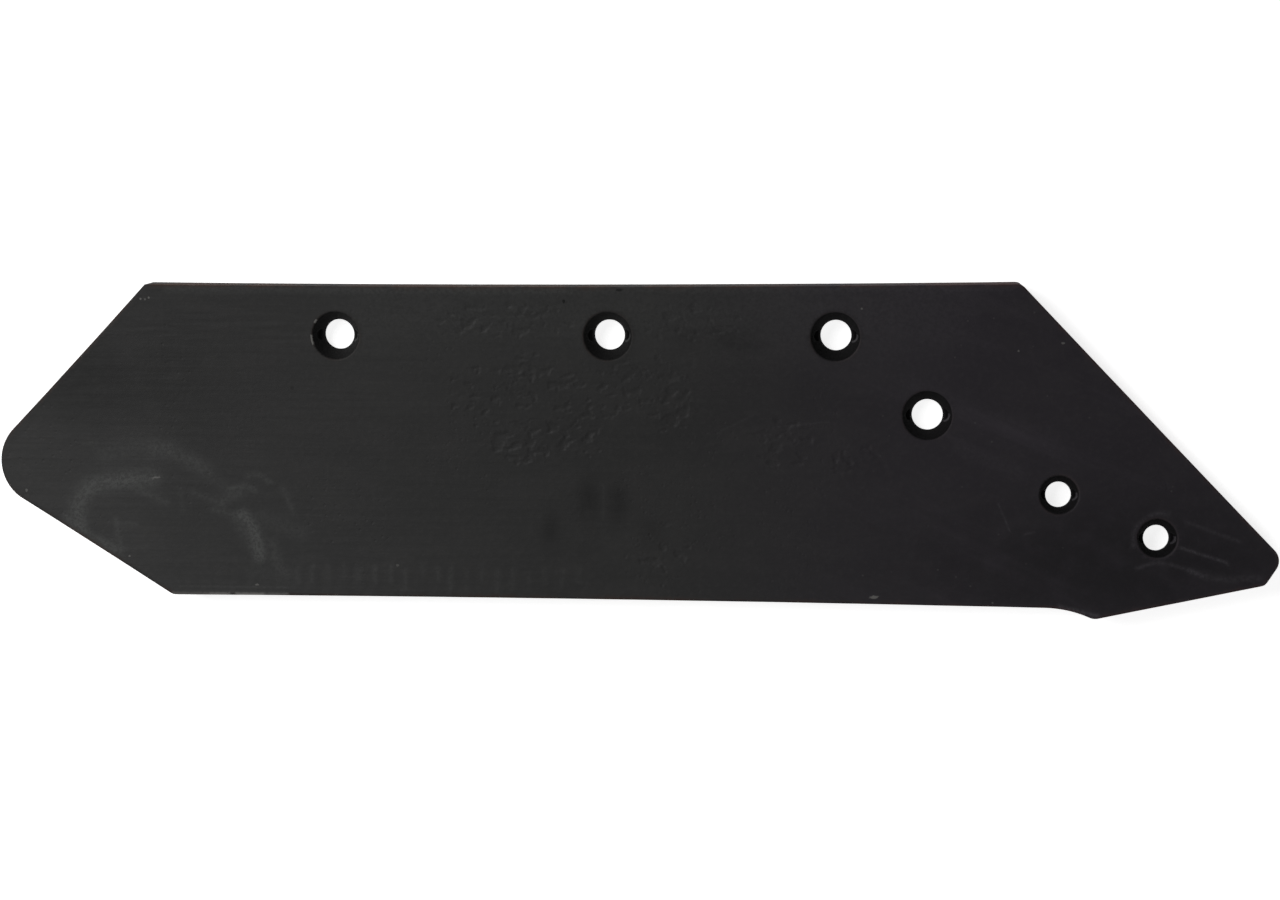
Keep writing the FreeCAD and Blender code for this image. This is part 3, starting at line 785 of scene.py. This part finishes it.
class Mesh:
    """Points, faces and the wear, painted shade and painted highlights carried on each point."""

    def __init__(self):
        self.points = []
        self.faces = []
        # the dust rubs and the specks also carry painted highlights, the smudges painted shade, and
        # the seat's value is painted shade in the seats and holes
        self.wear = {"rub": [], "smudge": [], "speck": [], "edge": [], "seat": []}

    def add_points(self, points, **wear):
        first = sum(map(len, self.points))
        self.points.append(points)
        for name, values in self.wear.items():
            values.append(np.full(len(points), wear.get(name, 0.0)))
        return first

    def add_strip(self, rows, **wear):
        """Faces between rows of points, each row a closed loop of as many points."""
        count = len(rows[0])
        starts = []
        for index, row in enumerate(rows):
            row_wear = {name: values[index] for name, values in wear.items()}
            starts.append(self.add_points(row, **row_wear))
        for low, high in zip(starts, starts[1:]):
            for i in range(count):
                j = (i + 1) % count
                self.faces.append((low + i, high + i, high + j, low + j))


# The seats and holes

def seat_place(hole, u, v, lift):
    """A point given in a hole's own plane, which touches the face along the hole's line."""
    lean = math.asin(hole["line"] / FACE_RADIUS)
    base_z = full_face(hole["line"])
    return np.stack([hole["x"] + u,
                     hole["line"] + v * math.cos(lean) - lift * math.sin(lean),
                     base_z + v * math.sin(lean) + lift * math.cos(lean)], axis=1)


def seat_middle(hole):
    """How far up its own plane a hole's middle lies."""
    return FACE_RADIUS * math.sin(math.asin(hole["y"] / FACE_RADIUS)
                                  - math.asin(hole["line"] / FACE_RADIUS))


def from_notch(hole, u, v):
    """How far outside the nib notches each point lies, or below zero how far inside."""
    straight_reach = hole["nib_reach"] - hole["nib_half"]
    return np.hypot(np.maximum(np.abs(u) - straight_reach, 0), v) - hole["nib_half"]


def seat_surface(hole, u, v):
    """Height of a seat over its plane: face, rounded rim, cone, and the two nib notches."""
    up = v + seat_middle(hole)
    radius = np.hypot(u, v)
    face = hollow(FACE_RADIUS, up) - FACE_DROP
    cone = (radius - hole["seat"]) / math.tan(SEAT_HALF_ANGLE)
    surface = smooth_min(face, cone, RIM_BLEND)
    floor = np.minimum(surface, -hole["nib_depth"])
    return floor + (surface - floor) * smoothstep(-NOTCH_BLEND, NOTCH_BLEND, from_notch(hole, u, v))


def ring(radius, count=RING_COUNT):
    return radius * heading(np.arange(count) * 2 * math.pi / count)


def notch_lines(hole):
    """Lines that follow the upper and lower edge of each nib notch."""
    lines = []
    straight_reach = hole["nib_reach"] - hole["nib_half"]
    for side in (1, -1):
        for offset in (-0.15, 0.15):
            line = (hole["nib_half"] + offset) * heading(np.linspace(-1.5, 1.5, 19))
            lines.append((line + (straight_reach, 0)) * (side, 1))
    return np.concatenate(lines)


def seat_points(hole):
    """Points of a seat between its rim and its hole: rings, and lines along the notches."""
    cone = np.arange(hole["hole"] + 0.4, hole["seat"] - 0.35, SEAT_STEP)
    rings = [ring(radius, int(2 * math.pi * radius / SEAT_STEP)) for radius in cone]
    rings += [ring(hole["seat"] + step) for step in (-0.3, -0.12, 0.04, 0.2, 0.38)]
    notches = notch_lines(hole)
    filler = clear_of(np.concatenate(rings), notches, 0.2)
    filler = filler[np.hypot(*filler.T) < hole["seat"] + 0.5]
    notches = notches[np.hypot(*notches.T) > hole["hole"] + 0.2]
    return np.concatenate([filler, notches])


def seat_wear(hole, u, v, lift):
    """Painted shade inside a seat, wear on its rim, a painted glint by the right notch, and painted
    highlights on beads of paint.
    """
    radius = np.hypot(u, v)
    # painted shade, deeper where the seat sinks further under the face
    depth = np.clip(-lift / 0.8, 0, 1) * hole.get("dark", 1.0)
    rim = np.exp(-((radius - hole["seat"]) / 0.55) ** 2)
    # a painted glint along the lower edge of the right nib notch, which the painted shade leaves
    # clear
    notch_rim = np.exp(-(from_notch(hole, u, v) / 0.3) ** 2)
    worn = notch_rim * (u > hole["hole"] + 0.3) * (v < 0.8)
    angle = np.degrees(np.arctan2(v, u)) % 360
    # painted highlights on the beads of paint just outside the rim
    beads = np.zeros(len(u))
    for middle_angle, half_width in hole.get("runs", ()):
        beyond = np.abs(radius - hole["seat"] - 0.2)
        beads[(np.abs(angle - middle_angle) < half_width) & (beyond < 0.35)] = 0.9
    return {"seat": depth * (1 - worn), "edge": 0.25 * rim, "rub": 0.42 * worn, "speck": beads}


def add_hole(mesh, hole):
    """A seat and its hole, and the loops that the face and the back meet it with."""
    middle = seat_middle(hole)
    outer = ring(hole["seat"] + SEAT_MARGIN)
    inner = ring(hole["hole"])
    plane, triangles = triangulate([outer, inner], seat_points(hole))
    u, v = plane.T
    lift = seat_surface(hole, u, v)
    points = seat_place(hole, u, v + middle, lift)
    first = mesh.add_points(points, **seat_wear(hole, u, v, lift))
    mesh.faces += (first + triangles).tolist()

    def back_lift(v):
        return hollow(BACK_RADIUS, v + middle) - THICKNESS

    # the short wall under the cone, and the eased rim where it leaves the back
    u, v = inner.T
    top = seat_surface(hole, u, v)
    bottom = back_lift(v) + 0.3
    wall = [seat_place(hole, u, v + middle, top + (bottom - top) * share)
            for share in (0.0, 0.35, 0.7, 1.0)]
    for spread, rise in ((0.09, 0.09), (0.3, 0.0)):
        u, v = ring(hole["hole"] + spread).T
        wall.append(seat_place(hole, u, v + middle, back_lift(v) + rise))
    # the wall and the back's rim carry the seat's painted shade, nearly black down the hole
    mesh.add_strip(wall, seat=[1, 1, 1, 0.9, 0.4, 0.0], edge=[0, 0, 0, 0.2, 0.6, 0.4])
    face_loop = points[:RING_COUNT, :2]
    return face_loop[::-1], wall[-1][:, :2]


# The edges, the face and the back

def add_edges(mesh):
    """The sheared wall with its eased rims, and the loops that the face and the back meet.

    The wall wanders in and out a little, as uneven shearing leaves it.
    """
    loop = RIM[:, :2]
    back_rim = loop + RIM[:, 2:]
    out = outward(loop)
    run = np.arange(len(loop)) * EDGE_STEP
    wander = WANDER + WANDER * noise_at(run, run * 0, 23.0, 1.0, seed=4.4)
    tears = [TEAR * (1 + noise_at(run, run * 0 + 3 * k, 2.6, 1.0, seed=7.7 + k))
             for k in range(len(WALL_SHARES))]

    rows, edge = [], []
    for turn in np.radians(FACE_EASE_TURNS):
        inset = EASE * (1 - math.sin(turn)) + wander
        xy = loop - out * inset[:, None]
        z = face_height(xy[:, 1]) - EASE * (1 - math.cos(turn))
        rows.append(np.column_stack([xy, z]))
        edge.append(0.5 + 0.5 * math.sin(turn))
    top = rows[-1]
    xy = back_rim - out * wander[:, None]
    bottom = np.column_stack([xy, back_height(*xy.T) + BACK_EASE])
    for share, tear in zip(WALL_SHARES, tears):
        between = top + (bottom - top) * share
        between[:, :2] -= out * tear[:, None]
        rows.append(between)
        edge.append(1.0 - 0.2 * share)
    for turn in np.radians(BACK_EASE_TURNS):
        inset = BACK_EASE * (1 - math.sin(turn)) + wander
        xy = back_rim - out * inset[:, None]
        z = back_height(*xy.T) + BACK_EASE * (1 - math.cos(turn))
        rows.append(np.column_stack([xy, z]))
        edge.append(0.8)

    # the rows nearest the face carry the rubbed dust and chips, and the painted highlight along the
    # cutting edge's rim
    rub, chips = [], []
    for index, row in enumerate(rows):
        x, y = row[:, 0], row[:, 1]
        rub.append(stroke_mask(x, y, RUB_MARKS) * (index < RUBBED_ROWS))
        chips.append(speck_mask(x, y) * (index < CHIPPED_ROWS))
    mesh.add_strip(rows, edge=edge, rub=rub, speck=chips)
    return rows[0][:, :2], rows[-1][:, :2]


def add_face_points(mesh, xy):
    """Adds points of the face, with their relief, wear, painted shade and painted highlights."""
    x, y = xy.T
    from_rim = distances(xy, RIM[:, :2])
    fade = smoothstep(*RIM_FADE, from_rim)
    for hole in HOLES:
        fade *= smoothstep(*SEAT_FADE, from_hole(hole, x, y) - hole["seat"])
    z = face_height(y) + np.minimum(face_relief(x, y) * fade, FACE_DROP)
    return mesh.add_points(np.stack([x, y, z], axis=1),
                           rub=stroke_mask(x, y, RUB_MARKS + press_marks()),
                           smudge=smudge_mask(x, y),
                           speck=speck_mask(x, y),
                           edge=0.6 * (1 - smoothstep(*RIM_WEAR, from_rim)))


def add_face(mesh, outer, holes):
    """The face: fine where it is pitted, with points round each speck and narrow mark."""
    coarse = grid_inside(outer, FACE_STEP)
    fine = grid_inside(outer, FINE_STEP)
    grid = np.concatenate([coarse[~in_patches(coarse)], fine[in_patches(fine)]])
    narrow = clear_of(narrow_mark_points(), speck_points(), 0.4)
    drawn = np.concatenate([speck_points(), narrow])
    drawn = drawn[[inside(point, outer) for point in drawn]]
    grid = np.concatenate([clear_of(grid, drawn, 0.4), drawn])
    plane, triangles = filled([outer] + holes, grid, 0.6, "seat", 0.9)
    first = add_face_points(mesh, plane)
    mesh.faces += (first + triangles).tolist()


def crease_points(outer):
    """Points along the creases where the two bevels leave the rolled back."""
    x = np.arange(-250.0, 262.0, CREASE_STEP)
    long_crease = np.stack([x, np.full(len(x), BEVEL_WIDTH - HALF_WIDTH)], axis=1)
    along = np.arange(-45.0, 55.0, CREASE_STEP)[:, None]
    way = heading(POINT_SLANT)
    side = np.array([-way[1], way[0]])
    point_crease = POINT_MIDDLE + way * along + side * BEVEL_WIDTH
    creases = np.concatenate([long_crease, point_crease])
    return creases[[inside(point, outer) for point in creases]]


def add_back(mesh, outer, holes):
    """The back: coarse, with closer points along the creases of the bevels."""
    creases = crease_points(outer)
    grid = np.concatenate([clear_of(grid_inside(outer, BACK_STEP), creases, 1.4), creases])
    plane, triangles = filled([outer] + holes, grid, 0.8, "hole", 1.3)
    x, y = plane.T
    bumps = BACK_RELIEF * (1 + noise_at(x, y, 9.0, 7.0, seed=8.8))
    rise = bumps * smoothstep(*BACK_FADE, distances(plane, RIM[:, :2]))
    for hole in HOLES:
        rise *= smoothstep(0.5, 2, from_hole(hole, x, y) - hole["hole"])
    first = mesh.add_points(np.column_stack([plane, back_height(x, y) + rise]), edge=0.1)
    mesh.faces += (first + triangles[:, ::-1]).tolist()


def build_plate():
    """The edges first, then the seats and holes, and the face and the back between them."""
    mesh = Mesh()
    face_outer, back_outer = add_edges(mesh)
    face_holes, back_holes = [], []
    for hole in HOLES:
        face_loop, back_loop = add_hole(mesh, hole)
        face_holes.append(face_loop)
        back_holes.append(back_loop)
    add_face(mesh, face_outer, face_holes)
    add_back(mesh, back_outer, back_holes)
    return mesh


def new_object(name, data):
    item = bpy.data.objects.new(name, data)
    bpy.context.scene.collection.objects.link(item)
    return item


def make_object(mesh, name):
    points = np.concatenate(mesh.points) + (0.0, STRIP_TO_ROW_Y, 0.0)
    data = bpy.data.meshes.new(name)
    data.from_pydata((points * 0.001).tolist(), [], mesh.faces)
    for key, values in mesh.wear.items():
        layer = data.attributes.new(key, "FLOAT", "POINT")
        layer.data.foreach_set("value", np.concatenate(values).astype(np.float32))
    join_patches(data)
    data.polygons.foreach_set("use_smooth", [True] * len(data.polygons))
    return new_object(name, data)


def join_patches(data):
    """One closed skin from the patches, which share the points along their borders."""
    work = bmesh.new()
    work.from_mesh(data)
    bmesh.ops.remove_doubles(work, verts=work.verts, dist=2e-6)
    bmesh.ops.recalc_face_normals(work, faces=work.faces)
    work.to_mesh(data)
    work.free()


plate = make_object(build_plate(), "share_blade_painted")
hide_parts("share_blade")
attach(plate, "root")


# Colours of the paint, of what lies on it, and of painted shade and highlights, as linear red,
# green, blue and opacity
BLACK_AT_WING = (0.024, 0.024, 0.0238, 1)
BLACK_AT_POINT = (0.0232, 0.0216, 0.0238, 1)
POINT_TINT = (1.02, 0.93, 1.08, 1)
CLOUDED = (0.03, 0.0295, 0.029, 1)
MOTTLED = (0.0335, 0.0325, 0.032, 1)
GRAINED = (0.042, 0.041, 0.04, 1)
STREAKED = (0.06, 0.056, 0.06, 1)
# the dark of the smudges, and painted shade toward the lower right
SMUDGE = (0.008, 0.008, 0.008, 1)
RUST = (0.062, 0.032, 0.022, 1)
WORN_PAINT = (0.09, 0.085, 0.08, 1)
# rubbed dust, and painted highlights by the notches and along the cutting edge's rim
DUST = (0.124, 0.127, 0.123, 1)
# chips, and painted highlights on beads of paint and along the cutting edge's rim
CHIP = (0.2, 0.195, 0.185, 1)
# painted shade in the seats and holes, and dark specks
THICK_PAINT = (0.003, 0.003, 0.003, 1)

# Where the coat turns to the point's colour and where its streaks set in, in metres along X
POINT_SPAN = (0.0, 0.16)
STREAK_SPAN = (0.06, 0.16)
STREAK_TURN = math.radians(-23)

# The bump of the paint's fine texture: its strength, and its height in metres
BUMP_STRENGTH = 0.6
BUMP_HEIGHT = 0.0002


def new_material(name):
    material = bpy.data.materials.new(name)
    material.use_nodes = True
    return material, material.node_tree.nodes["Principled BSDF"]


class Nodes:
    """Short ways to add and link the nodes of a material or of the world."""

    def __init__(self, tree, coordinates="Object"):
        self.tree = tree
        self.place = self.add("ShaderNodeTexCoord").outputs[coordinates]
        self.axes = self.add("ShaderNodeSeparateXYZ", {0: self.place}).outputs

    def link(self, output, socket):
        self.tree.links.new(output, socket)

    def add(self, kind, inputs=(), **settings):
        """A node with its settings; each input is a number or a colour, or it is linked."""
        node = self.tree.nodes.new(kind)
        for key, value in settings.items():
            setattr(node, key, value)
        for key, value in dict(inputs).items():
            if isinstance(value, (int, float, tuple)):
                node.inputs[key].default_value = value
            else:
                self.link(value, node.inputs[key])
        return node

    def wear(self, name):
        """One of the kinds of wear that the mesh carries on its points."""
        return self.add("ShaderNodeAttribute", attribute_name=name).outputs["Fac"]

    def combine(self, operation, a, b, clamp=False):
        node = self.add("ShaderNodeMath", {0: a, 1: b}, operation=operation, use_clamp=clamp)
        return node.outputs[0]

    def times(self, a, b, clamp=False):
        return self.combine("MULTIPLY", a, b, clamp)

    def plus(self, a, b, clamp=False):
        return self.combine("ADD", a, b, clamp)

    def noise(self, scale, detail=4.0, roughness=0.55, stretch=(1, 1, 1), turn=0.0):
        inputs = {"Vector": self.place, "Scale": stretch, "Rotation": (0, 0, turn)}
        mapping = self.add("ShaderNodeMapping", inputs, vector_type="TEXTURE")
        inputs = {"Vector": mapping.outputs[0], "Scale": scale,
                  "Detail": detail, "Roughness": roughness}
        return self.add("ShaderNodeTexNoise", inputs).outputs["Fac"]

    def ramp(self, value, low, high, to_low=0.0, to_high=1.0):
        """Turns the range from low to high smoothly into the one from to_low to to_high."""
        inputs = {"Value": value, "From Min": low, "From Max": high,
                  "To Min": to_low, "To Max": to_high}
        node = self.add("ShaderNodeMapRange", inputs, interpolation_type="SMOOTHSTEP")
        return node.outputs["Result"]

    def blend(self, factor, a, b, mode="MIX"):
        inputs = {"Factor": factor, "A": a, "B": b}
        node = self.add("ShaderNodeMix", inputs, data_type="RGBA", blend_type=mode)
        return node.outputs["Result"]

    def patchy(self, name, noise, *span):
        """A kind of wear, broken up by noise."""
        return self.times(self.wear(name), self.ramp(self.noise(*noise), *span), clamp=True)

    def cover(self, coat, colour, where, share):
        """Lays a colour over the coat, and lets the rest of the coat show through."""
        return self.blend(self.times(where, share), coat, colour)


def bare_coat(nodes, toward_point, fine):
    """The coat: black, clouded and mottled, with faint streaks that run down to the point."""
    coat = nodes.blend(toward_point, BLACK_AT_WING, BLACK_AT_POINT)
    cloud = nodes.noise(14.0, 5.0, 0.6, (1.6, 1.0, 1.0))
    coat = nodes.blend(nodes.ramp(cloud, 0.35, 0.7, 0.0, 0.3), coat, CLOUDED)
    mottle = nodes.noise(75.0, 6.0, 0.7, (2.2, 1.0, 1.0))
    coat = nodes.blend(nodes.ramp(mottle, 0.4, 0.7, 0.0, 0.45), coat, MOTTLED)
    coat = nodes.blend(nodes.ramp(fine, 0.45, 0.75, 0.0, 0.24), coat, GRAINED)
    streaks = nodes.noise(70.0, 4.0, 0.6, (14.0, 1.0, 1.0), STREAK_TURN)
    on_point = nodes.ramp(nodes.axes["X"], *STREAK_SPAN)
    streak = nodes.times(nodes.ramp(streaks, 0.5, 0.75), on_point)
    return nodes.cover(coat, STREAKED, streak, 0.30)


def worn_coat(nodes, coat, rubbed):
    """The coat's smudges and broad painted shade, rusty and worn edges, rubbed dust with painted
    highlights, and painted shade in the seats and holes.
    """
    smudged = nodes.patchy("smudge", (110.0, 4.0), 0.25, 0.6, 0.5, 1.0)
    coat = nodes.cover(coat, SMUDGE, smudged, 0.75)
    coat = nodes.cover(coat, RUST, nodes.patchy("edge", (55.0, 5.0, 0.65), 0.36, 0.60), 0.7)
    coat = nodes.cover(coat, WORN_PAINT, nodes.patchy("edge", (180.0, 3.0), 0.5, 0.68), 0.25)
    # rubbed dust, and the painted highlights that the same mask carries
    coat = nodes.cover(coat, DUST, rubbed, 0.55)
    # painted shade, nearly black, in the seats and down the holes
    return nodes.cover(coat, THICK_PAINT, nodes.wear("seat"), 0.95)


def chips(nodes, coat):
    """Chips and dust specks, light or dark, and painted highlights on beads of paint and along the
    cutting edge's rim.
    """
    speck = nodes.wear("speck")
    coat = nodes.blend(nodes.combine("MAXIMUM", speck, 0.0), coat, CHIP)
    dark = nodes.combine("MAXIMUM", nodes.times(speck, -1.0), 0.0)
    return nodes.blend(dark, coat, THICK_PAINT)


def roughness(nodes, rubbed):
    """Satin, and duller where the coat is dusty or carries a painted highlight, in a seat or worn
    on an edge.
    """
    satin = nodes.ramp(nodes.noise(24.0, 4.0), 0.3, 0.7, 0.52, 0.60)
    matt = nodes.plus(satin, nodes.times(rubbed, 0.2))
    matt = nodes.plus(matt, nodes.times(nodes.wear("seat"), 0.35))
    return nodes.plus(matt, nodes.times(nodes.wear("edge"), 0.35), clamp=True)


def gloss(nodes):
    """Weaker in the seats and on the edges."""
    dull = nodes.combine("MAXIMUM", nodes.wear("seat"), nodes.wear("edge"))
    return nodes.ramp(dull, 0.3, 1.0, 0.3, 0.14)


def fine_relief(nodes, fine):
    """The paint's texture, the grain of the rolls and small scale pits."""
    grain = nodes.noise(300.0, 2.0, 0.5, (20.0, 1.0, 1.0))
    inputs = {"Vector": nodes.place, "Scale": 330.0}
    small_pits = nodes.add("ShaderNodeTexVoronoi", inputs)
    pit = nodes.ramp(small_pits.outputs["Distance"], 0.05, 0.3)
    sparse = nodes.ramp(nodes.noise(35.0, 3.0), 0.5, 0.62)
    pit = nodes.times(nodes.combine("SUBTRACT", pit, 1.0), sparse)
    height = nodes.plus(nodes.times(fine, 0.5), nodes.times(grain, 0.9))
    height = nodes.plus(height, nodes.times(pit, 0.5))
    inputs = {"Strength": BUMP_STRENGTH, "Distance": BUMP_HEIGHT, "Height": height}
    return nodes.add("ShaderNodeBump", inputs).outputs[0]


def painted_steel():
    """Satin black paint on rolled steel, with its dust, smudges, chips and rusty edges, and painted
    shade and highlights.
    """
    material, shader = new_material("satin black paint")
    nodes = Nodes(material.node_tree)
    fine = nodes.noise(420.0, 2.0)
    toward_point = nodes.ramp(nodes.axes["X"], *POINT_SPAN)
    rubbed = nodes.patchy("rub", (700.0, 3.0, 0.7), 0.36, 0.62, 0.40, 1.20)
    coat = worn_coat(nodes, bare_coat(nodes, toward_point, fine), rubbed)
    # the whole coat turns a trace purple toward the point
    coat = nodes.blend(toward_point, coat, POINT_TINT, mode="MULTIPLY")
    coat = chips(nodes, coat)
    nodes.link(coat, shader.inputs["Base Color"])
    nodes.link(roughness(nodes, rubbed), shader.inputs["Roughness"])
    nodes.link(gloss(nodes), shader.inputs["Specular IOR Level"])
    nodes.link(fine_relief(nodes, fine), shader.inputs["Normal"])
    return material


plate.data.materials.append(painted_steel())


# The ground, the lights and the camera, in metres and watts
FLOOR_HALF = 6.0
GROUND_LOOK = {"Base Color": (0.9, 0.9, 0.9, 1), "Roughness": 0.9, "Specular IOR Level": 0.1,
               "Emission Color": (1, 1, 1, 1), "Emission Strength": 0.8}
SOFTBOX_SIDE = 0.8
SOFTBOXES = (("key softbox", (-0.95, 0.5, 0.95), 12.0), ("fill softbox", (0.5, -1.0, 1.0), 2.5))
# The studio's walls: brightness low down and overhead, and the heights between which it falls
WALL_GLOW = (0.92, 0.055)
WALL_SPAN = (0.02, 0.24)
# The camera stands a little right of the middle and tilts a little to the left
CAMERA_PLACE = (0.1250, 0.0700, 0.9764)
CAMERA_RIGHT = Vector((0.99296, 0.0, -0.11844))
CAMERA_UP = Vector((-0.00866, 0.99732, -0.07262))
LENS_MM = 61.875
SENSOR_MM = 36.0


def make_floor():
    half = FLOOR_HALF
    corners = [(-half, -half, 0), (half, -half, 0), (half, half, 0), (-half, half, 0)]
    data = bpy.data.meshes.new("ground")
    data.from_pydata(corners, [], [(0, 1, 2, 3)])
    floor = new_object("ground", data)
    material, shader = new_material("white ground")
    for key, value in GROUND_LOOK.items():
        shader.inputs[key].default_value = value
    data.materials.append(material)


def soft_light(name, place, power):
    """A square softbox that faces the middle of the share."""
    data = bpy.data.lights.new(name, "AREA")
    data.shape = "SQUARE"
    data.size = SOFTBOX_SIDE
    data.energy = power
    light = new_object(name, data)
    light.location = place
    light.rotation_euler = (-Vector(place)).to_track_quat("-Z", "Y").to_euler()


def make_camera():
    data = bpy.data.cameras.new("camera")
    data.sensor_width = SENSOR_MM
    data.lens = LENS_MM
    camera = new_object("camera", data)
    turn = Matrix((CAMERA_RIGHT, CAMERA_UP, CAMERA_RIGHT.cross(CAMERA_UP))).transposed()
    camera.matrix_world = Matrix.Translation(CAMERA_PLACE) @ turn.to_4x4()
    bpy.context.scene.camera = camera


def make_world():
    """A dim studio whose walls are white low down, where the ground ends."""
    world = bpy.data.worlds.new("studio")
    world.use_nodes = True
    background = world.node_tree.nodes["Background"]
    background.inputs["Color"].default_value = (1.0, 1.0, 1.0, 1)
    nodes = Nodes(world.node_tree, "Generated")
    nodes.link(nodes.ramp(nodes.axes["Z"], *WALL_SPAN, *WALL_GLOW), background.inputs["Strength"])
    bpy.context.scene.world = world


make_floor()
make_world()
for softbox in SOFTBOXES:
    soft_light(*softbox)
make_camera()
bpy.context.scene.view_settings.view_transform = "Standard"
